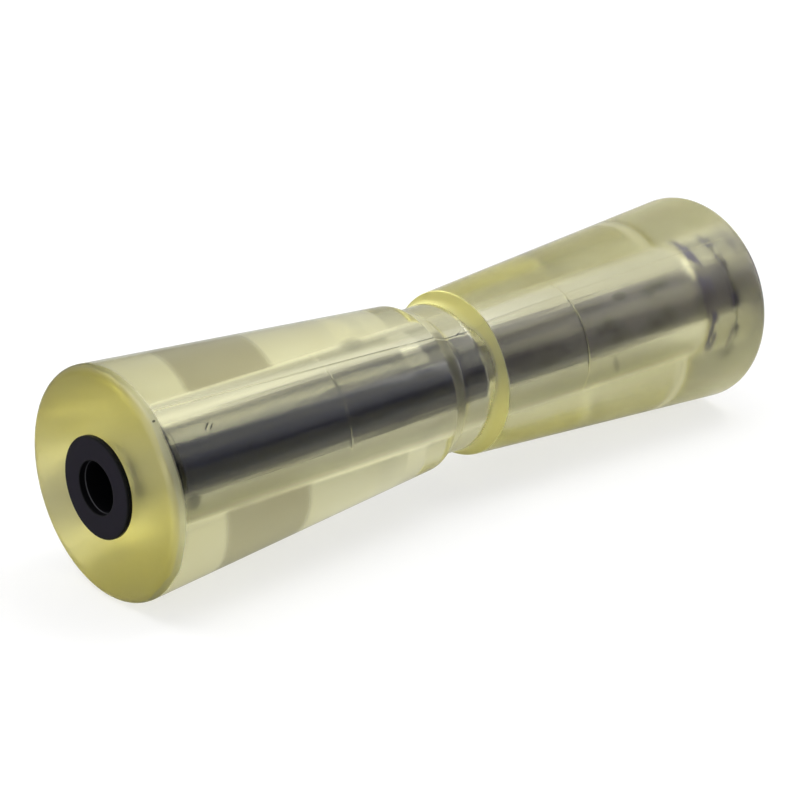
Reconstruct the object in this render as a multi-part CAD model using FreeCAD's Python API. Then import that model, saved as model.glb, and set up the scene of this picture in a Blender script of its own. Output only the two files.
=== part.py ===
import FreeCAD, Part
import math
import os

# Boat trailer keel roller
# A clear, waisted roller runs over a core tube. A flanged bush is pressed into each end of
# the roller's bore, and a fixed shaft passes through both bushes.
# The roller's axis is Y and its middle is the origin. Lengths are in millimetres.

# Clear roller
body_length = 300.0         # from end face to end face
end_diameter = 85.3         # the cones' large ends, before the rims are rounded
shoulder_diameter = 64.7    # the cones' small ends, at the lips of the keel groove
end_round = 3.7             # rounded rim of each end face
groove_mouth = 27.0         # keel groove, from lip to lip
groove_floor = 12.0         # keel groove, width of its floor
groove_depth = 3.7          # from lip to floor, as a radius
groove_floor_round = 4.0    # the floor turning up into the sloped walls
lip_round = 0.6             # the lips of the groove
bore_chamfer = 0.4          # lead-in of the bore at each end face

# Core tube
core_diameter = 26.0
core_wall = 2.0

# Flanged bushes
flange_diameter = 37.0
flange_thickness = 2.0
flange_round = 0.45         # outer edge of the flange's face
sleeve_length = 17.5        # from the flange's seat to the sleeve's tip
sleeve_tip_chamfer = 0.6
bead_width = 5.5            # raised ring near the tip, which grips the bore
bead_setback = 0.5          # from the end of the tip's chamfer to the bead
collar_width = 2.5          # raised ring at the flange, which grips the bore too
shaft_bore = 19.2           # takes a 19.05 mm shaft
mouth_diameter = 19.6       # the bore's tapered mouth, at the flange's face
mouth_depth = 2.4           # length of the taper
mouth_round = 0.3

# Clearances
core_radial_gap = 0.1       # tube to the roller's bore
core_end_gap = 0.1          # tube's end to the sleeve's tip
sleeve_radial_gap = 0.3     # sleeve to the roller's bore, between the raised rings
grip_radial_gap = 0.02      # raised rings to the roller's bore
flange_seat_gap = 0.05      # flange to the roller's end face

body_bore_radius = core_diameter / 2 + core_radial_gap
end_y = body_length / 2


def tangent_arc(before, corner, after, radius):
    """Start, middle and end of the arc that rounds a corner, held within its two walls."""
    to_before = before.sub(corner)
    to_after = after.sub(corner)
    half_turn = to_before.getAngle(to_after) / 2
    room = 0.49 * min(to_before.Length, to_after.Length)
    setback = min(radius / math.tan(half_turn), room)
    radius = setback * math.tan(half_turn)
    to_before.normalize()
    to_after.normalize()
    bisector = to_before.add(to_after)
    bisector.normalize()
    middle_reach = radius / math.sin(half_turn) - radius
    return (corner.add(to_before.multiply(setback)),
            corner.add(bisector.multiply(middle_reach)),
            corner.add(to_after.multiply(setback)))


def turned(outline):
    """Solid of revolution about Y from a closed outline of (y, radius, corner round)."""
    corners = [FreeCAD.Vector(0, y, radius) for y, radius, _ in outline]
    rounds = [corner_round for _, _, corner_round in outline]
    stops = []
    for i, corner in enumerate(corners):
        if rounds[i] > 0:
            following = corners[(i + 1) % len(corners)]
            stops.append(tangent_arc(corners[i - 1], corner, following, rounds[i]))
        else:
            stops.append((corner,))
    edges = []
    for i, stop in enumerate(stops):
        if len(stop) == 3:
            edges.append(Part.Arc(*stop).toShape())
        following = stops[(i + 1) % len(stops)]
        edges.append(Part.LineSegment(stop[-1], following[0]).toShape())
    face = Part.Face(Part.Wire(edges))
    return face.revolve(FreeCAD.Vector(0, 0, 0), FreeCAD.Vector(0, 1, 0), 360)


def mirrored_outline(half):
    """Outline that is the same at both ends, from its half at positive y, middle outwards."""
    other_half = [(-y, radius, corner_round) for y, radius, corner_round in reversed(half)]
    return other_half + half


def clear_roller():
    """Two cones meeting at the keel groove, with rounded rims and a plain bore."""
    lip_radius = shoulder_diameter / 2
    outside = mirrored_outline([
        (groove_floor / 2, lip_radius - groove_depth, groove_floor_round),
        (groove_mouth / 2, lip_radius, lip_round),
        (end_y, end_diameter / 2, end_round),
        (end_y, body_bore_radius + bore_chamfer, 0),
        (end_y - bore_chamfer, body_bore_radius, 0),
    ])
    return turned(outside)


def core_tube():
    """Plain tube that fills the bore between the two sleeves."""
    half_length = end_y + flange_seat_gap - sleeve_length - core_end_gap
    outer = core_diameter / 2
    inner = outer - core_wall
    return turned([(-half_length, inner, 0), (-half_length, outer, 0),
                   (half_length, outer, 0), (half_length, inner, 0)])


def flanged_bush(side):
    """Bush at one end, side -1 or +1: flange against the end face, sleeve in the bore."""
    seat = end_y + flange_seat_gap
    face = seat + flange_thickness
    tip = seat - sleeve_length
    sleeve_radius = body_bore_radius - sleeve_radial_gap
    grip_radius = body_bore_radius - grip_radial_gap
    grip_rise = grip_radius - sleeve_radius
    bead_inner = tip + sleeve_tip_chamfer + bead_setback
    bead_outer = bead_inner + bead_width
    collar_inner = seat - collar_width
    outline = [
        (tip, shaft_bore / 2, 0),
        (tip, sleeve_radius - sleeve_tip_chamfer, 0),
        (tip + sleeve_tip_chamfer, sleeve_radius, 0),
        (bead_inner, sleeve_radius, 0),
        (bead_inner + grip_rise, grip_radius, 0),
        (bead_outer - grip_rise, grip_radius, 0),
        (bead_outer, sleeve_radius, 0),
        (collar_inner, sleeve_radius, 0),
        (collar_inner + grip_rise, grip_radius, 0),
        (seat, grip_radius, 0),
        (seat, flange_diameter / 2, 0),
        (face, flange_diameter / 2, flange_round),
        (face, mouth_diameter / 2, mouth_round),
        (face - mouth_depth, shaft_bore / 2, 0),
    ]
    return turned([(side * y, radius, corner_round) for y, radius, corner_round in outline])


parts = {
    "roller_body": clear_roller(),
    "core_tube": core_tube(),
    "left_bush": flanged_bush(-1),
    "right_bush": flanged_bush(1),
}

os.makedirs("parts", exist_ok=True)
for name, shape in parts.items():
    shape.exportStep(f"parts/{name}.step")
    size = shape.BoundBox
    print(f"{name}: {size.XLength:.1f} x {size.YLength:.1f} x {size.ZLength:.1f} mm, "
          f"{shape.Volume / 1000:.1f} cm3, valid {shape.isValid()}")
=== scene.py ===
# %% [markdown]
# # A clear keel roller for a boat trailer
# The real thing is a waisted roller moulded in a clear, pale yellow plastic. Its bore holds a
# dark tube from end to end, and a black flanged bush is pressed into each end. Nearly all of
# its look comes from refraction: what seems to be a polished metal core is a thin layer of air
# between the clear wall and the dark tube. A painted or textured cylinder could only imitate
# that from one side. So the clear wall is a real closed solid with a real gap behind it, and
# the path tracer works out the silvery flanks, the dark band and the rings for every view.

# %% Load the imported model
import math

import bmesh
import bpy
from mathutils import Matrix, Vector, noise


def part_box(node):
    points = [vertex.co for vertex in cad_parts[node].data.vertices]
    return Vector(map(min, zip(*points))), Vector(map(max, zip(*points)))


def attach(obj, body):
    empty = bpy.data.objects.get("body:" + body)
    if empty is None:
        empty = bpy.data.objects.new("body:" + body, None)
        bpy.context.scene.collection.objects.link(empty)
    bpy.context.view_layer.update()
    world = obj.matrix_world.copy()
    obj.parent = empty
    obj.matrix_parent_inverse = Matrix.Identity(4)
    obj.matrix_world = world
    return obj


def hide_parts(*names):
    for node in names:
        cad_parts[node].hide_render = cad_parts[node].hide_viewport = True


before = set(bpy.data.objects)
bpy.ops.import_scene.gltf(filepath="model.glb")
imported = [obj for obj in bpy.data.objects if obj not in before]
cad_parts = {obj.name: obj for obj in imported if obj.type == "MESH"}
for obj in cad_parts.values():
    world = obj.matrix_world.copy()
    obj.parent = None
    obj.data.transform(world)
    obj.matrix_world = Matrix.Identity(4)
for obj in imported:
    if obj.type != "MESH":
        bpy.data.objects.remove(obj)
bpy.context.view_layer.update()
print("nodes to dress:", sorted(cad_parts))

# %% [markdown]
# ## Sizes
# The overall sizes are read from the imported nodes, so that the dressed pieces can't drift from
# them. What a box can't tell, such as the slope of the groove or a rounding, is a named value
# in millimetres. Only the mesh and the shaders turn it into metres.

# %% Sizes
MM = 0.001
body_low, body_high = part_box("roller_body")
_, tube_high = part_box("core_tube")
bush_low, bush_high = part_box("right_bush")

end_y = body_high.y / MM
end_radius = 42.65          # the cones' large ends, before the rims are rounded
end_round = 3.7
bore_chamfer = 0.4
lip_radius = 32.35          # the cones' small ends, at the lips of the keel groove
lip_round = 0.6
half_mouth = 13.5           # from the middle of the groove to a lip
half_floor = 6.0            # from the middle of the groove to the foot of a wall
groove_radius = 28.65       # the groove's floor
groove_round = 4.0
tube_radius = tube_high.z / MM
tube_half = tube_high.y / MM
tube_wall = 2.0
tube_gap = 0.1
bore_radius = tube_radius + tube_gap
print(f"roller {2 * end_y:.0f} mm long, {2 * body_high.z / MM:.1f} mm across, bore {2 * bore_radius:.1f} mm")

# %% [markdown]
# ## A lathe for outlines
# Every piece is a body of revolution. The Screw modifier could spin an edge, but a short lathe
# function says exactly where the mesh is fine and where it is coarse, and lets a piece depart a
# little from round, as a parting line does. An outline is a list of (y, radius, round) corners,
# and each corner is turned by a tangent arc, as on the moulded part.

# %% Round the corners of an outline
def rounded(corners, steps=8):
    """Closed outline of Vectors (y, radius) from (y, radius, round) corners."""
    points = []
    for i, (y, radius, corner_round) in enumerate(corners):
        corner = Vector((y, radius))
        if corner_round == 0:
            points.append(corner)
            continue
        before = Vector(corners[i - 1][:2]) - corner
        after = Vector(corners[(i + 1) % len(corners)][:2]) - corner
        half_turn = before.angle(after) / 2
        room = 0.49 * min(before.length, after.length)
        setback = min(corner_round / math.tan(half_turn), room)
        bisector = (before.normalized() + after.normalized()).normalized()
        centre = corner + bisector * setback / math.cos(half_turn)
        first = corner + before.normalized() * setback - centre
        last = corner + after.normalized() * setback - centre
        turn = first.angle_signed(last)
        for k in range(steps + 1):
            point = first.copy()
            point.rotate(Matrix.Rotation(-turn * k / steps, 2))
            points.append(centre + point)
    return points


def divided(points, longest):
    """The same outline with extra points, so that no stretch is longer than longest(point)."""
    result = []
    for i, start in enumerate(points):
        stretch = points[(i + 1) % len(points)] - start
        count = max(1, math.ceil(stretch.length / longest(start + stretch / 2)))
        result += [start + stretch * k / count for k in range(count)]
    return result


def both_ends(half):
    """Corners that are the same at both ends, from the half at positive y."""
    return [(-y, radius, corner_round) for y, radius, corner_round in reversed(half)] + half


# %% Turn an outline round the roller's axis
crease_angle = 28           # degrees; a sharper fold is shaded as an edge


def even_angles(count):
    return [2 * math.pi * k / count for k in range(count)]


def turned(name, outline, angles, swell=None):
    """Closed mesh from an outline; swell(y, radius, angle) is a small rise in millimetres."""
    verts = []
    for angle in angles:
        for point in outline:
            rise = swell(point.x, point.y, angle) if swell else 0.0
            radius = (point.y + rise) * MM
            verts.append((radius * math.cos(angle), point.x * MM, radius * math.sin(angle)))
    count = len(outline)
    faces = []
    for j in range(len(angles)):
        here = j * count
        there = (j + 1) % len(angles) * count
        for i in range(count):
            following = (i + 1) % count
            faces.append((here + i, there + i, there + following, here + following))
    mesh = bpy.data.meshes.new(name)
    mesh.from_pydata(verts, [], faces)
    closed = bmesh.new()
    closed.from_mesh(mesh)
    bmesh.ops.recalc_face_normals(closed, faces=closed.faces[:])
    closed.to_mesh(mesh)
    closed.free()
    mesh.shade_smooth()
    mesh.set_sharp_from_angle(angle=math.radians(crease_angle))
    piece = bpy.data.objects.new(name, mesh)
    bpy.context.scene.collection.objects.link(piece)
    print(f"{name}: {len(faces)} faces")
    return piece


# %% [markdown]
# ## The clear body
# One closed wall: cones, keel groove, rounded rims, end faces and bore. A perfect lathe form
# looks like glass, and this is a soft plastic out of a mould, so its outside departs a little
# from round in three ways, all of them real shape, because refraction enlarges a rise of a
# twentieth of a millimetre. The mould opened along two lines that run the whole length and
# left a hair of flash. The wall shrank unevenly as it cooled, which leaves it slightly wavy.
# And a few shallow sinks lie by the groove, where the thickness of the wall changes.

# %% Flash on the parting lines
parting_angle = math.radians(53.4)
parting_height = 0.05
parting_width = 0.22
close_angles = (-1.0, -0.6, -0.35, -0.15, 0, 0.15, 0.35, 0.6, 1.0)
clear_angle = 1.3           # degrees beside a parting line that the even angles leave free


def parting_rise(radius, angle):
    away = math.remainder(angle - parting_angle, math.pi) * radius
    return parting_height * math.exp(-(away / parting_width) ** 2)


def angles_beside_lines(count):
    """Even angles, with a few close ones at each parting line."""
    lines = (parting_angle, parting_angle + math.pi)

    def from_line(angle):
        return min(abs(math.remainder(angle - line, 2 * math.pi)) for line in lines)

    even = [angle for angle in even_angles(count) if from_line(angle) > math.radians(clear_angle)]
    return sorted(even + [line + math.radians(away) for line in lines for away in close_angles])


print(f"two parting lines, {parting_height} mm high")

# %% [markdown]
# A sink is given by its y, its angle round the roller in degrees, its depth, and half its
# length and width. The angle of the roller's front, which faces the camera, is counted from +X
# towards +Z.

# %% Waves and sinks of the moulded wall
front = 27.4
wave_height = 0.012
wave_length = 34
wave_width = 17
sinks = [
    (-36, front + 16, 0.10, 7.0, 4.5),
    (-24, front + 20, 0.08, 5.0, 4.0),
    (-30, front + 3, 0.05, 5.0, 5.0),
    (-41, front - 22, 0.08, 5.0, 3.0),
    (-2, front + 26, 0.09, 2.2, 1.6),
    (3, front + 22, 0.07, 1.6, 1.6),
    (-3, front + 10, 0.07, 2.0, 4.0),
    (-1, front - 26, 0.07, 3.0, 4.0),
]


def moulded_rise(y, radius, angle):
    """Flash, waves and sinks of the outside, none of them in the bore."""
    if radius < 0.5 * lip_radius:
        return 0.0
    rise = parting_rise(radius, angle)
    place = Vector((y / wave_length, radius * math.cos(angle) / wave_width,
                    radius * math.sin(angle) / wave_width))
    rise += wave_height * noise.noise(place)
    for at_y, at_angle, depth, half_length, half_width in sinks:
        along = (y - at_y) / half_length
        across = math.remainder(angle - math.radians(at_angle), 2 * math.pi) * radius / half_width
        rise -= depth * math.exp(-along ** 2 - across ** 2)
    return rise


print(len(sinks), "sinks, the deepest", max(sink[2] for sink in sinks), "mm")

# %% [markdown]
# The bore is smooth but for two faint ring marks, where the core pin of the mould had its
# joints. Through the thick wall each is seen as a hair line round the dark band.

# %% Ring marks in the bore
ring_marks = (-58.0, 66.0)
mark_depth = 0.09
mark_half_width = 0.35
mark_border = 0.7


def bore_corners():
    """The bore from the far end back to the near one, with its ring marks."""
    corners = []
    for y in sorted(ring_marks, reverse=True):
        for offset, depth in ((mark_border, 0), (mark_half_width, 0), (0, mark_depth),
                              (-mark_half_width, 0), (-mark_border, 0)):
            corners.append((y + offset, bore_radius + depth, 0))
    return corners


print("ring marks at y =", ring_marks)

# %% Clear body
plain_step = 12.0           # longest stretch of an outline where nothing happens
cone_step = 2.5
groove_step = 1.2
groove_reach = 50
angles_round_body = 256


def body_step(point):
    """Longest stretch of the outline there: fine outside, coarse in the plain bore."""
    if point.y < bore_radius + 1:
        return plain_step
    return groove_step if abs(point.x) < groove_reach else cone_step


body_corners = both_ends([
    (half_floor, groove_radius, groove_round),
    (half_mouth, lip_radius, lip_round),
    (end_y, end_radius, end_round),
    (end_y, bore_radius + bore_chamfer, 0),
    (end_y - bore_chamfer, bore_radius, 0),
]) + bore_corners()
body_outline = divided(rounded(body_corners), body_step)
clear_body = turned("clear_body", body_outline, angles_beside_lines(angles_round_body), moulded_rise)
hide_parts("roller_body")
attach(clear_body, "root")

# %% [markdown]
# ## The core tube
# A plain extruded tube in dark plastic. It lies a tenth of a millimetre inside the bore, and
# that air is what makes the wall reflect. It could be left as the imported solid, but the packed
# one has no edge rounding, and a saw-cut end that catches no light looks drawn on.

# %% Core tube
tube_edge_round = 0.3
angles_round_tube = 128

tube_outline = divided(rounded([
    (-tube_half, tube_radius - tube_wall, 0),
    (-tube_half, tube_radius, tube_edge_round),
    (tube_half, tube_radius, tube_edge_round),
    (tube_half, tube_radius - tube_wall, 0),
], steps=3), lambda point: plain_step)
tube = turned("dark_tube", tube_outline, even_angles(angles_round_tube))
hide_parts("core_tube")
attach(tube, "root")

# %% [markdown]
# ## The bushes
# Each bush is a flange with a sleeve. Two raised rings on the sleeve grip the bore, one near
# the tip and one behind the flange. Where a ring is pressed into the clear wall there is no air
# left, so nothing is reflected and the black nylon shows as a ragged dark ring. That contact is
# modelled, not painted: the rings swell a few hundredths of a millimetre into the wall, more
# in some places round the bore than in others.

# %% Sizes of a bush
seat_gap = 0.05             # flange to end face
sleeve_gap = 0.3            # sleeve to bore, between the raised rings
grip_gap = 0.02             # raised rings to bore, before they swell
flange_radius = 18.5
flange_face = bush_high.y / MM
flange_back = end_y + seat_gap
flange_round = 0.45
sleeve_tip = bush_low.y / MM
sleeve_radius = bore_radius - sleeve_gap
sleeve_tip_round = 0.4
grip_radius = bore_radius - grip_gap
grip_slope = 0.3
bead_start = 1.1
bead_width = 5.5
collar_width = 2.5
shaft_radius = 9.6
mouth_radius = 9.8
mouth_depth = 2.4
mouth_round = 0.3
print(f"flange {2 * flange_radius:.0f} mm across, shaft bore {2 * shaft_radius:.1f} mm")

# %% How the raised rings press in
usual_swell = 0.033
uneven_swell = 0.09
patches_round = 2.6
patches_along = 0.45


def grip_squeeze(y, radius, angle):
    """Swelling that takes a raised ring into the softer wall, uneven round the bore."""
    if radius < (sleeve_radius + grip_radius) / 2 or radius > bore_radius:
        return 0.0
    ragged = noise.noise(Vector((patches_round * math.cos(angle), patches_round * math.sin(angle),
                                 patches_along * y)))
    return usual_swell + uneven_swell * ragged


print(f"rings swell by {usual_swell} mm, give or take {uneven_swell} mm at the most")

# %% Bushes
bush_step = 0.8
angles_round_bush = 160


def bush(name, side):
    bead_end = sleeve_tip + bead_start + bead_width
    collar_start = flange_back - collar_width
    outline = divided(rounded([
        (sleeve_tip, shaft_radius, 0),
        (sleeve_tip, sleeve_radius, sleeve_tip_round),
        (sleeve_tip + bead_start, sleeve_radius, 0),
        (sleeve_tip + bead_start + grip_slope, grip_radius, 0),
        (bead_end - grip_slope, grip_radius, 0),
        (bead_end, sleeve_radius, 0),
        (collar_start, sleeve_radius, 0),
        (collar_start + grip_slope, grip_radius, 0),
        (flange_back, grip_radius, 0),
        (flange_back, flange_radius, flange_round),
        (flange_face, flange_radius, flange_round),
        (flange_face, mouth_radius, mouth_round),
        (flange_face - mouth_depth, shaft_radius, 0),
    ], steps=5), lambda point: bush_step)
    outline = [Vector((side * point.x, point.y)) for point in outline]
    return turned(name, outline, even_angles(angles_round_bush), grip_squeeze)


bushes = []
for name, node, side in (("near_bush", "left_bush", -1), ("far_bush", "right_bush", 1)):
    piece = bush(name, side)
    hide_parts(node)
    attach(piece, "root")
    bushes.append(piece)

# %% [markdown]
# ## Shader nodes
# Nodes are made by one helper: it takes the node's kind, its settings and what goes into its
# sockets, where a value is set and another node's output is linked. What more than one material
# needs is a node group, built once. The groups put out only numbers that change over the
# surface; the shaders stay in the materials.

# %% Node helpers
def add(tree, kind, inputs=None, **settings):
    """New node, with sockets given by name or number as a value or as another node's output."""
    made = tree.nodes.new("ShaderNode" + kind)
    for name, value in settings.items():
        setattr(made, name, value)
    for key, value in (inputs or {}).items():
        if isinstance(value, bpy.types.NodeSocket):
            tree.links.new(value, made.inputs[key])
        else:
            made.inputs[key].default_value = value
    return made


def calc(tree, operation, *values):
    """Output of a Math node."""
    return add(tree, "Math", dict(enumerate(values)), operation=operation).outputs[0]


def chained(tree, operation, values):
    result = values[0]
    for value in values[1:]:
        result = calc(tree, operation, result, value)
    return result


def total(tree, *values):
    """Sum of any number of values."""
    return chained(tree, "ADD", values)


def product(tree, *values):
    """Product of any number of values. Of masks, it is the place where all of them meet."""
    return chained(tree, "MULTIPLY", values)


def fade(tree, value, start, stop, low=0.0, high=1.0):
    """Smooth step from low to high as value goes from start to stop."""
    inputs = {"Value": value, "From Min": start, "From Max": stop, "To Min": low, "To Max": high}
    return add(tree, "MapRange", inputs, interpolation_type="SMOOTHSTEP").outputs[0]


def blend(tree, mask, low, high):
    """Colour between low and high."""
    mixed = add(tree, "Mix", {"Factor": mask}, data_type="RGBA")
    for slot, value in (("A", low), ("B", high)):
        socket = next(s for s in mixed.inputs if s.name == slot and s.type == "RGBA")
        if isinstance(value, bpy.types.NodeSocket):
            tree.links.new(value, socket)
        else:
            socket.default_value = (*value, 1)
    return next(s for s in mixed.outputs if s.type == "RGBA")


# %% Material and group helpers
def material(name, **values):
    """Material whose Principled BSDF has the given socket values, with its tree and shader."""
    made = bpy.data.materials.new(name)
    made.use_nodes = True
    shader = made.node_tree.nodes["Principled BSDF"]
    for socket, value in values.items():
        shader.inputs[socket.replace("_", " ")].default_value = value
    return made, made.node_tree, shader


def new_group(name, inputs, outputs):
    """Empty node group, its input node and its output node."""
    group = bpy.data.node_groups.new(name, "ShaderNodeTree")
    for socket, value in inputs:
        made = group.interface.new_socket(socket, in_out="INPUT", socket_type="NodeSocketFloat")
        made.default_value = value
    for socket in outputs:
        group.interface.new_socket(socket, in_out="OUTPUT", socket_type="NodeSocketFloat")
    print(f"group {name} puts out", ", ".join(outputs))
    return group, group.nodes.new("NodeGroupInput"), group.nodes.new("NodeGroupOutput")


def use(tree, group, **inputs):
    """Outputs of a group placed in a material, with underscores for the spaces in names."""
    named = {key.replace("_", " "): value for key, value in inputs.items()}
    return add(tree, "Group", named, node_tree=group).outputs


# %% [markdown]
# Wear and marks need a place to be. On a turned piece the natural coordinates are the distance
# along the axis, the distance out from it and the angle round it, so one group works these
# out for all three materials.

# %% Group: place on the roller
def build_place_group():
    """Millimetres along the axis and out from it, and degrees round it from +X towards +Z."""
    group, _, out = new_group("place_on_roller", [], ["Along", "Round", "Out"])
    here = add(group, "TexCoord")
    x, y, z = add(group, "SeparateXYZ", {0: here.outputs["Object"]}).outputs
    square = total(group, product(group, x, x), product(group, z, z))
    results = {"Along": calc(group, "DIVIDE", y, MM),
               "Round": calc(group, "DEGREES", calc(group, "ARCTAN2", z, x)),
               "Out": calc(group, "DIVIDE", calc(group, "SQRT", square), MM)}
    for name, value in results.items():
        group.links.new(value, out.inputs[name])
    return group


place_on_roller = build_place_group()

# %% Group: grain
def build_grain_group():
    """Noise drawn out along the axis: a Stretch of 1 is an even grain, less gives long streaks."""
    sockets = [("Size", 1.0), ("Stretch", 1.0), ("Detail", 3.0), ("Start", 0.35), ("Stop", 0.65)]
    group, given, out = new_group("grain", sockets, ["Height", "Mask"])
    value = given.outputs
    here = add(group, "TexCoord")
    squeeze = add(group, "CombineXYZ", {"X": 1.0, "Y": value["Stretch"], "Z": 1.0}).outputs[0]
    drawn = add(group, "VectorMath", {0: here.outputs["Object"], 1: squeeze}, operation="MULTIPLY")
    scale = calc(group, "DIVIDE", 1 / MM, value["Size"])
    pattern = add(group, "TexNoise", {"Vector": drawn.outputs[0], "Scale": scale,
                                      "Detail": value["Detail"]})
    height = pattern.outputs["Fac"]
    group.links.new(height, out.inputs["Height"])
    group.links.new(fade(group, height, value["Start"], value["Stop"]), out.inputs["Mask"])
    return group


grain = build_grain_group()

# %% Group: a mark at one place
def build_mark_group():
    """Mask of a slanted oval or box at a place on the roller, with its sizes in millimetres."""
    sockets = [("Along", 0.0), ("Round", 0.0), ("Out", 40.0), ("At Along", 0.0), ("At Round", 0.0),
               ("Half Length", 5.0), ("Half Width", 5.0), ("Slant", 0.0), ("Soft", 0.2),
               ("Squareness", 2.0), ("Strength", 1.0)]
    group, given, out = new_group("mark", sockets, ["Mask"])
    value = given.outputs
    along = calc(group, "SUBTRACT", value["Along"], value["At Along"])
    turn = calc(group, "WRAP", calc(group, "SUBTRACT", value["Round"], value["At Round"]), 180.0, -180.0)
    across = product(group, calc(group, "RADIANS", turn), value["Out"])
    slant = calc(group, "RADIANS", value["Slant"])
    cosine = calc(group, "COSINE", slant)
    sine = calc(group, "SINE", slant)
    length = calc(group, "ADD", product(group, along, cosine), product(group, across, sine))
    width = calc(group, "SUBTRACT", product(group, across, cosine), product(group, along, sine))
    reach = 0.0
    for distance, half in ((length, "Half Length"), (width, "Half Width")):
        share = calc(group, "ABSOLUTE", calc(group, "DIVIDE", distance, value[half]))
        reach = calc(group, "ADD", reach, calc(group, "POWER", share, value["Squareness"]))
    inside = calc(group, "SUBTRACT", 1.0, value["Soft"])
    outside = calc(group, "ADD", 1.0, value["Soft"])
    mask = fade(group, reach, outside, inside)
    group.links.new(product(group, mask, value["Strength"]), out.inputs["Mask"])
    return group


mark = build_mark_group()

# %% [markdown]
# ## Clear plastic
# The colour has two parts. Volume absorption makes the long ways through the wall yellower than
# the short ones, which is what tells the eye that the piece is solid, and a faint tint in the
# Base Color stands for the aged skin. The outside is nearly polished, and hazier on the far
# cone. The near end face was cut and is satin. A pale, rougher line round its rim is a painted
# highlight. The wall of the groove that faces the near end is rubbed matt, which is why it
# glows evenly, and only its foot in front is still clear. The bore keeps fine lines along its
# length from the core pin.
# On the back of the near cone is a rectangle where something once stuck: bare, matt and a
# little darker. It shows twice through the wall, above and below the dark band.

# %% Colours and roughness of the clear plastic
volume_tint = (0.87, 0.85, 0.44)
volume_density = 10.0
skin_tint = (1.0, 0.985, 0.80)
cloudy_tint = (0.95, 0.92, 0.70)
cut_tint = (0.99, 0.91, 0.46)
# The pale tint of the painted highlight round the near rim.
painted_rim_highlight_tint = (1.0, 0.99, 0.84)
rubbed_tint = (0.86, 0.82, 0.47)
stuck_tint = (0.36, 0.33, 0.24)
smudge_tint = (0.22, 0.22, 0.19)
scratch_tint = (0.03, 0.03, 0.03)

polished = 0.11             # roughness of the plain outside; the others are added to it
near_rim_rough = 0.22
near_end_rough = 0.38 - near_rim_rough
rim_highlight_rough = 0.40
far_end_rough = 0.05
far_cone_rough = 0.10
rubbed_rough = 0.74
other_wall_rough = 0.16
stuck_rough = 0.22
smudge_rough = 0.15
print("the polished outside has a roughness of", polished)

# %% [markdown]
# Each finish starts and ends over a short fade. The ones at the near end are counted from its
# end face inwards, and the others by their y. A mark is given by its y, its angle, half its
# length and width, its slant in degrees and its strength.

# %% Where each finish and mark is
bore_fade = (bore_radius + 1.5, bore_radius + 0.5)
outside_fade = (bore_radius + 2, bore_radius + 4)
near_end_fade = (2.6, 1.0)
near_rim_fade = (5.0, 3.0)
# Where the painted rim highlight lies, counted from the end face and made wavy by the cloudy grain.
rim_highlight_fades = ((2.0, 2.6), (5.0, 4.2))
rim_highlight_wobble = 1.4
far_end_fade = (end_y - 2.0, end_y - 0.3)
far_cone_fade = (85.0, 125.0)
rubbed_wall_fades = ((half_mouth, half_mouth - 0.8), (half_floor - 1.0, half_floor + 4.0))
other_wall_fades = ((-half_mouth - 1.0, 0.5 - half_mouth), (1.5 - half_floor, -0.5 - half_floor))
clear_foot = {"At_Along": half_floor + 0.5, "At_Round": front, "Half_Length": 3.3,
              "Half_Width": 15.0, "Squareness": 2.0, "Soft": 0.8}
stuck_place = {"At_Along": -81.5, "At_Round": front - 180, "Half_Length": 19.5,
               "Half_Width": 19, "Squareness": 10.0, "Soft": 0.85}
clouds = {"Size": 24.0, "Stretch": 0.6, "Detail": 2.0, "Start": 0.42, "Stop": 0.68}
scratch_soft = 0.6
scratches = [
    (-128.0, front + 12.0, 1.8, 0.32, 40, 1.0),
    (-126.4, front + 10.8, 1.6, 0.28, 40, 1.0),
    (-114.0, front - 3.0, 0.4, 0.4, 0, 1.0),
    (-147.0, front + 21.0, 0.6, 0.45, 10, 1.0),
    (1.0, front + 27.0, 1.7, 0.30, 18, 1.0),
    (3.0, front + 26.0, 1.2, 0.26, -25, 1.0),
]
smudge_soft = 0.95
smudges = [
    (-50, front + 36, 5.5, 2.8, 8, 0.7),
    (-142, front - 20, 3.2, 2.6, 0, 1.0),
    (67, front - 27, 1.5, 3.5, 20, 0.7),
    (76, front + 13, 3.5, 1.8, 0, 0.7),
]
print(len(scratches), "scratches and nicks,", len(smudges), "smudges")


# %% Masks of the clear plastic
def marked(tree, place, marks, soft):
    """Mask of a list of marks."""
    masks = []
    for y, angle, half_length, half_width, slant, strength in marks:
        placed = use(tree, mark, At_Along=y, At_Round=angle, Half_Length=half_length,
                     Half_Width=half_width, Slant=slant, Soft=soft, Strength=strength, **place)
        masks.append(placed["Mask"])
    return total(tree, *masks)


def between(tree, value, fades):
    """Mask of a band along the roller, with a fade at each of its two sides."""
    return product(tree, *(fade(tree, value, *limits) for limits in fades))


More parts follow.
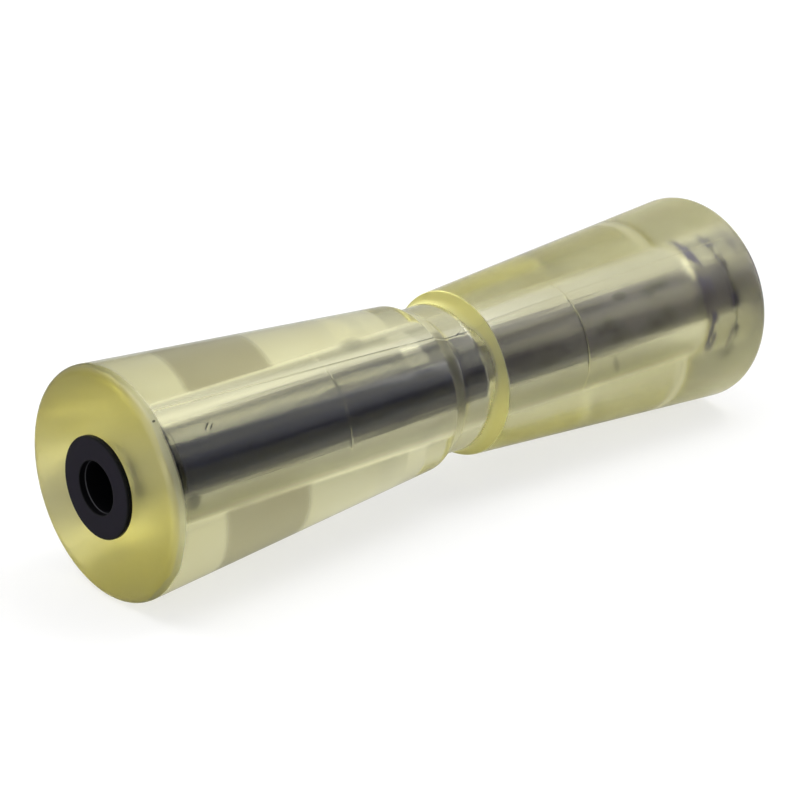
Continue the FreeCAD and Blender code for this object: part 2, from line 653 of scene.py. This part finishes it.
def clear_plastic_masks(tree):
    """Where each finish of the clear plastic is, by name."""
    here = use(tree, place_on_roller)
    y = here["Along"]
    place = {"Along": y, "Round": here["Round"], "Out": here["Out"]}
    outside = fade(tree, here["Out"], *outside_fade)
    from_face = calc(tree, "ADD", y, end_y)
    cloudy = use(tree, grain, **clouds)["Mask"]
    wavy = total(tree, from_face, product(tree, cloudy, rim_highlight_wobble))
    off_foot = calc(tree, "SUBTRACT", 1.0, use(tree, mark, **clear_foot, **place)["Mask"])
    scratched = calc(tree, "MINIMUM", marked(tree, place, scratches, scratch_soft), 1.0)
    return {
        "cloudy": cloudy,
        "in bore": fade(tree, here["Out"], *bore_fade),
        "near end": fade(tree, from_face, *near_end_fade),
        "near rim": product(tree, fade(tree, from_face, *near_rim_fade), outside),
        # A painted highlight: a wavy pale strip round the near rim.
        "painted rim highlight": product(tree, between(tree, wavy, rim_highlight_fades), outside),
        "far end": fade(tree, y, *far_end_fade),
        "far cone": product(tree, fade(tree, y, *far_cone_fade), outside),
        "rubbed": product(tree, between(tree, y, rubbed_wall_fades), outside, off_foot),
        "other wall": product(tree, between(tree, y, other_wall_fades), outside),
        "stuck": product(tree, use(tree, mark, **stuck_place, **place)["Mask"], outside),
        "smudged": product(tree, marked(tree, place, smudges, smudge_soft), outside),
        "scratched": product(tree, scratched, outside),
    }


# %% Clear plastic
pin_lines = {"Size": 1.4, "Stretch": 0.02, "Detail": 4.0}
pin_line_depth = 0.1
tints = {"cloudy": cloudy_tint, "near end": cut_tint, "painted rim highlight": painted_rim_highlight_tint, "rubbed": rubbed_tint,
         "stuck": stuck_tint, "smudged": smudge_tint, "scratched": scratch_tint}
added_roughness = {"near end": near_end_rough, "near rim": near_rim_rough, "far end": far_end_rough,
                   "far cone": far_cone_rough, "rubbed": rubbed_rough, "stuck": stuck_rough,
                   "smudged": smudge_rough, "other wall": other_wall_rough, "painted rim highlight": rim_highlight_rough}


def build_clear_plastic():
    made, tree, shader = material("clear_plastic", IOR=1.5, Transmission_Weight=1.0)
    absorb = add(tree, "VolumeAbsorption", {"Color": (*volume_tint, 1), "Density": volume_density})
    tree.links.new(absorb.outputs[0], tree.nodes["Material Output"].inputs["Volume"])
    masks = clear_plastic_masks(tree)

    colour = skin_tint
    for name, tint in tints.items():
        colour = blend(tree, masks[name], colour, tint)
    tree.links.new(colour, shader.inputs["Base Color"])

    more = (product(tree, masks[name], amount) for name, amount in added_roughness.items())
    tree.links.new(total(tree, polished, *more), shader.inputs["Roughness"])

    lines = product(tree, use(tree, grain, **pin_lines)["Height"], masks["in bore"])
    bump = add(tree, "Bump", {"Height": lines, "Distance": pin_line_depth * MM})
    tree.links.new(bump.outputs[0], shader.inputs["Normal"])
    print(made.name, "has", len(tints), "tints over its skin")
    return made


clear_body.data.materials.append(build_clear_plastic())

# %% [markdown]
# ## Dark plastic of the tube
# Seen through the wall, the tube is the dark band. Fresh extruded plastic is blue-black with
# long die lines. Towards the far end the air gap has let in dust, which turns it to a brownish
# grey in patches. The top of the tube is painted lighter than the bottom with the same grey, a
# painted highlight. Beside the far ring mark of the bore the grey is thinner, so that the mark
# shows as a darker line.

# %% Dark plastic
fresh_black = (0.003, 0.006, 0.065)
die_line = (0.010, 0.013, 0.085)
# Brownish grey of dust, which on the upper side also stands for a painted highlight.
dust_and_painted_top_light = (0.200, 0.190, 0.360)
tube_rough = 0.28
die_line_rough = 0.1
dust_and_top_light_rough = 0.3
die_lines = {"Size": 1.1, "Stretch": 0.012, "Detail": 3.0, "Start": 0.4, "Stop": 0.7}
die_line_depth = 0.05
die_line_strength = 0.5
dust_patches = {"Size": 14.0, "Stretch": 0.5, "Detail": 3.0, "Start": 0.2, "Stop": 0.6}
painted_top_light_fade = (-0.8, 0.4)      # sine of the angle round the tube
dust_length_fade = (-30.0, 90.0)
thin_dust_fade = (0.5 * mark_border, 1.5 * mark_border)
thin_dust = 0.45


def build_dark_plastic():
    made, tree, shader = material("dark_plastic", Specular_IOR_Level=0.25)
    here = use(tree, place_on_roller)
    lines = use(tree, grain, **die_lines)
    patches = use(tree, grain, **dust_patches)["Mask"]
    height = calc(tree, "SINE", calc(tree, "RADIANS", here["Round"]))
    # The upper side is painted lighter: a painted highlight.
    painted_top_light = fade(tree, height, *painted_top_light_fade)
    far = fade(tree, here["Along"], *dust_length_fade)
    off_mark = calc(tree, "ABSOLUTE", calc(tree, "SUBTRACT", here["Along"], max(ring_marks)))
    beside_mark = fade(tree, off_mark, *thin_dust_fade, thin_dust, 1.0)
    dusty_with_painted_top_light = product(tree, painted_top_light, far, patches, beside_mark)
    colour = blend(tree, lines["Mask"], fresh_black, die_line)
    tree.links.new(blend(tree, dusty_with_painted_top_light, colour, dust_and_painted_top_light), shader.inputs["Base Color"])
    roughness = total(tree, product(tree, dusty_with_painted_top_light, dust_and_top_light_rough),
                      product(tree, lines["Mask"], die_line_rough), tube_rough)
    tree.links.new(roughness, shader.inputs["Roughness"])
    bump = add(tree, "Bump", {"Height": lines["Height"], "Distance": die_line_depth * MM,
                              "Strength": die_line_strength})
    tree.links.new(bump.outputs[0], shader.inputs["Normal"])
    print(made.name, "is dusty from y =", dust_length_fade[0])
    return made


tube.data.materials.append(build_dark_plastic())

# %% [markdown]
# ## Black nylon of the bushes
# Moulded nylon has a fine, even grain. The flat face of the flange rubs on the trailer's
# bracket and has gone to a matt charcoal, in patches, and the bore stays black. Thin bands of
# the face at its rim and at the mouth of the bore are kept black too: painted shade, a dark
# outline round each edge. A thin light line where the tapered mouth of the bore ends is a
# painted highlight, a glint on that edge. The far sleeve is dusty, as the tube is there.

# %% Black nylon
nylon_black = (0.003, 0.003, 0.004)
rubbed_charcoal = (0.014, 0.012, 0.020)
sleeve_dust = (0.110, 0.100, 0.280)
# Light grey of a painted highlight: the glint where the mouth's taper ends.
painted_mouth_glint = (0.120, 0.120, 0.130)
nylon_rough = 0.38
rubbed_face_rough = 0.25
nylon_grain = {"Size": 0.35, "Stretch": 1.0, "Detail": 3.0}
nylon_grain_depth = 0.04
nylon_grain_strength = 0.6
rub_patches = {"Size": 5.0, "Stretch": 1.0, "Detail": 4.0, "Start": 0.2, "Stop": 0.75}
least_rub = 0.75
patchy_rub = 0.35
on_face_fade = (flange_face - 0.25, flange_face - 0.03)
# Thin bands of the face at the mouth and at the rim stay black: painted shade, a dark outline round each
# edge.
mouth_outline_shade_fade = (mouth_radius + 0.1, mouth_radius + 0.6)
rim_outline_shade_fade = (flange_radius - 0.6, flange_radius - 1.1)
dusty_sleeve_fades = ((end_y, end_y - 1.0), (0.0, 100.0))
sleeve_skin_fade = (sleeve_radius - 1.0, sleeve_radius - 0.5)
# Where the painted glint lies, beside the end of the mouth's taper.
mouth_glint_fade = (0.35, 0.1)
mouth_glint_radius_fade = (mouth_radius + 0.1, mouth_radius - 0.1)


def build_black_nylon():
    made, tree, shader = material("black_nylon", Specular_IOR_Level=0.1)
    here = use(tree, place_on_roller)
    off_middle = calc(tree, "ABSOLUTE", here["Along"])
    on_face = fade(tree, off_middle, *on_face_fade)
    inward = fade(tree, here["Out"], *mouth_outline_shade_fade)
    rimward = fade(tree, here["Out"], *rim_outline_shade_fade)
    patches = use(tree, grain, **rub_patches)["Mask"]
    how_rubbed = total(tree, product(tree, patches, patchy_rub), least_rub)
    # Charcoal on the rubbed face, held back from the painted shade of the two edge bands.
    rubbed = product(tree, on_face, inward, rimward, how_rubbed)
    on_sleeve = product(tree, between(tree, here["Along"], dusty_sleeve_fades),
                        fade(tree, here["Out"], *sleeve_skin_fade))
    off_edge = calc(tree, "ABSOLUTE", calc(tree, "SUBTRACT", off_middle, flange_face - mouth_depth))
    on_glint = product(tree, fade(tree, off_edge, *mouth_glint_fade),
                      fade(tree, here["Out"], *mouth_glint_radius_fade))
    colour = blend(tree, rubbed, nylon_black, rubbed_charcoal)
    colour = blend(tree, on_sleeve, colour, sleeve_dust)
    tree.links.new(blend(tree, on_glint, colour, painted_mouth_glint), shader.inputs["Base Color"])
    roughness = total(tree, product(tree, rubbed, rubbed_face_rough), nylon_rough)
    tree.links.new(roughness, shader.inputs["Roughness"])
    fine = use(tree, grain, **nylon_grain)["Height"]
    bump = add(tree, "Bump", {"Height": fine, "Distance": nylon_grain_depth * MM,
                              "Strength": nylon_grain_strength})
    tree.links.new(bump.outputs[0], shader.inputs["Normal"])
    return made


black_nylon = build_black_nylon()
for piece in bushes:
    piece.data.materials.append(black_nylon)
    print(piece.name, "wears", black_nylon.name)

# %% [markdown]
# ## A plain pale floor
# The roller is photographed on white, with next to no shadow. A plain floor lit only by the
# boxes would come out grey, so the floor also shines a little towards the camera. What the
# clear wall sees of it is the plain dim floor, or the whole underside would be washed out. Two
# broad pools on it, to the left and behind, are a little brighter, and light the wall from
# below there.

# %% Floor
floor_reach = 6.0
floor_grey = 0.4
floor_rough = 0.9
floor_glow = 0.14
floor_glow_to_camera = 0.62
pools = {"left": (-0.11, -0.02, 0.16, 0.45), "behind": (0.02, 0.21, 0.11, 0.35)}


def build_floor():
    """Square floor under the roller. A pool is given by its x and y, its reach and its glow."""
    mesh = bpy.data.meshes.new("floor")
    corners = [(x * floor_reach, y * floor_reach, body_low.z)
               for x, y in ((-1, -1), (1, -1), (1, 1), (-1, 1))]
    mesh.from_pydata(corners, [], [(0, 1, 2, 3)])
    made, tree, shader = material("pale_floor", Base_Color=(floor_grey, floor_grey, floor_grey, 1),
                                  Roughness=floor_rough, Specular_IOR_Level=0.0,
                                  Emission_Color=(1, 1, 1, 1))
    here = add(tree, "TexCoord").outputs["Object"]
    glow = floor_glow
    for x, y, reach, extra in pools.values():
        centre = (x, y, body_low.z)
        away = add(tree, "VectorMath", {0: here, 1: centre}, operation="DISTANCE").outputs["Value"]
        glow = calc(tree, "ADD", glow, fade(tree, away, reach, 0.0, 0.0, extra))
    direct = add(tree, "LightPath").outputs["Is Camera Ray"]
    glow = calc(tree, "MAXIMUM", glow, product(tree, direct, floor_glow_to_camera))
    tree.links.new(glow, shader.inputs["Emission Strength"])
    mesh.materials.append(made)
    plane = bpy.data.objects.new("floor", mesh)
    bpy.context.scene.collection.objects.link(plane)
    print("floor with", len(pools), "brighter pools")
    return plane


floor = build_floor()

# %% [markdown]
# ## Soft boxes
# Clear plastic shows only what stands round it, so its light is a set of large soft boxes with
# dark between them: the dark gives the band its depth, and the boxes give the silvery flanks.
# Area lamps would do this too, but each adds noise to the many bends of the light. Painted on
# the world by direction they cost nothing, and they are at infinity, so the light is the same
# all along the roller. The camera itself sees only white behind the floor.

# %% Helpers for the light
world = bpy.data.worlds.new("studio")
bpy.context.scene.world = world
world.use_nodes = True
sky = world.node_tree
view_ray = sky.nodes.new("ShaderNodeTexCoord").outputs["Generated"]


def toward(azimuth, elevation):
    """Unit vector from degrees, with azimuth counted from +X towards +Y."""
    a = math.radians(azimuth)
    e = math.radians(elevation)
    return Vector((math.cos(e) * math.cos(a), math.cos(e) * math.sin(a), math.sin(e)))


def share_of_ray(direction):
    """How much of the view ray goes in a direction."""
    return add(sky, "VectorMath", {0: view_ray, 1: direction}, operation="DOT_PRODUCT").outputs["Value"]


def soft_box(azimuth, elevation, half_width, half_height, edge, strength):
    """Brightness of a soft rectangular light seen in one direction, with its angles in degrees."""
    forward = toward(azimuth, elevation)
    sideways = Vector((0, 0, 1)).cross(forward).normalized()
    upward = forward.cross(sideways)
    ahead = share_of_ray(forward)
    mask = calc(sky, "GREATER_THAN", ahead, 0.0)
    never_zero = calc(sky, "MAXIMUM", ahead, 0.001)
    for axis, half in ((sideways, half_width), (upward, half_height)):
        offset = calc(sky, "ABSOLUTE", calc(sky, "DIVIDE", share_of_ray(axis), never_zero))
        inner, outer = (math.tan(math.radians(angle)) for angle in (half - edge, half + edge))
        mask = product(sky, mask, fade(sky, offset, outer, inner))
    return product(sky, mask, strength)


# %% [markdown]
# Each box is given by its azimuth and elevation, half its width and height, and the width of
# its soft edge, all in degrees, and by its strength. World light is usually sampled by a map of
# its bright parts, but here that only costs time, because nearly all of it comes through the
# wall.

# %% Light
room_light = 0.04
boxes = {
    "key": (70, 55, 15, 15, 5, 2.0),
    "thin strip in the key": (70, 60, 15, 3, 2, 1.5),
    "below the key": (60, 25, 15, 12, 4, 1.0),
    "strip at the right": (65, 5, 10, 25, 2, 2.0),
    "back wall": (115, 0, 30, 50, 5, 0.55),
    "left wall": (180, 20, 32, 45, 5, 0.65),
    "over the left wall": (195, 50, 13, 30, 2, 1.2),
    "low at the left": (260, 0, 20, 30, 8, 1.2),
    "strip over it": (290, 35, 25, 8, 3, 1.4),
    "beside the camera": (315, 15, 10, 30, 2, 0.8),
    "low at the front": (330, 7, 15, 5, 2, 1.7),
    "slot at the front": (7, 5, 7, 15, 2, 2.1),
    "high at the right": (25, 36, 12, 6, 4, 0.8),
    "ceiling, front": (335, 88, 35, 12, 3, 2.1),
    "ceiling, left": (255, 65, 50, 7, 3, 1.3),
    "ceiling, back": (95, 65, 25, 8, 2, 1.6),
}
boxes_light = total(sky, *(soft_box(*box) for box in boxes.values()))
seen_directly = add(sky, "LightPath").outputs["Is Camera Ray"]
brightness = calc(sky, "MAXIMUM", total(sky, boxes_light, room_light), seen_directly)
sky.links.new(brightness, sky.nodes["Background"].inputs["Strength"])
sky.nodes["Background"].inputs["Color"].default_value = (1, 1, 1, 1)
world.cycles.sampling_method = "NONE"
print(len(boxes), "soft boxes")

# %% [markdown]
# ## The camera
# It stands at the photograph's viewing angle, with the same long lens. The place and the turn
# were worked out from the outline of the end face, the cones and the groove.

# %% Camera
camera_place = (0.6355, -0.5849, 0.3299)
camera_right = Vector((0.66910, 0.74318, 0))
camera_up = Vector((-0.27042, 0.24347, 0.93145))
camera_data = bpy.data.cameras.new("camera")
camera_data.lens = 109.68
camera_data.sensor_width = 36.0
camera = bpy.data.objects.new("camera", camera_data)
bpy.context.scene.collection.objects.link(camera)
turn = Matrix((camera_right, camera_up, camera_right.cross(camera_up))).transposed().to_4x4()
camera.matrix_world = Matrix.Translation(camera_place) @ turn
scene = bpy.context.scene
scene.camera = camera
print(f"camera {Vector(camera_place).length / MM:.0f} mm from the roller's middle")

# %% [markdown]
# Light that bounces inside the wall needs more bends than Blender's usual twelve, or the end
# faces and the far end go dark. The Standard view keeps the whites of the floor white.

# %% Bounces and view
most_bends = 40
most_reflections = 16
scene.view_settings.view_transform = "Standard"
scene.cycles.max_bounces = most_bends
scene.cycles.transmission_bounces = most_bends
scene.cycles.glossy_bounces = most_reflections
print("up to", most_bends, "bends of the light")
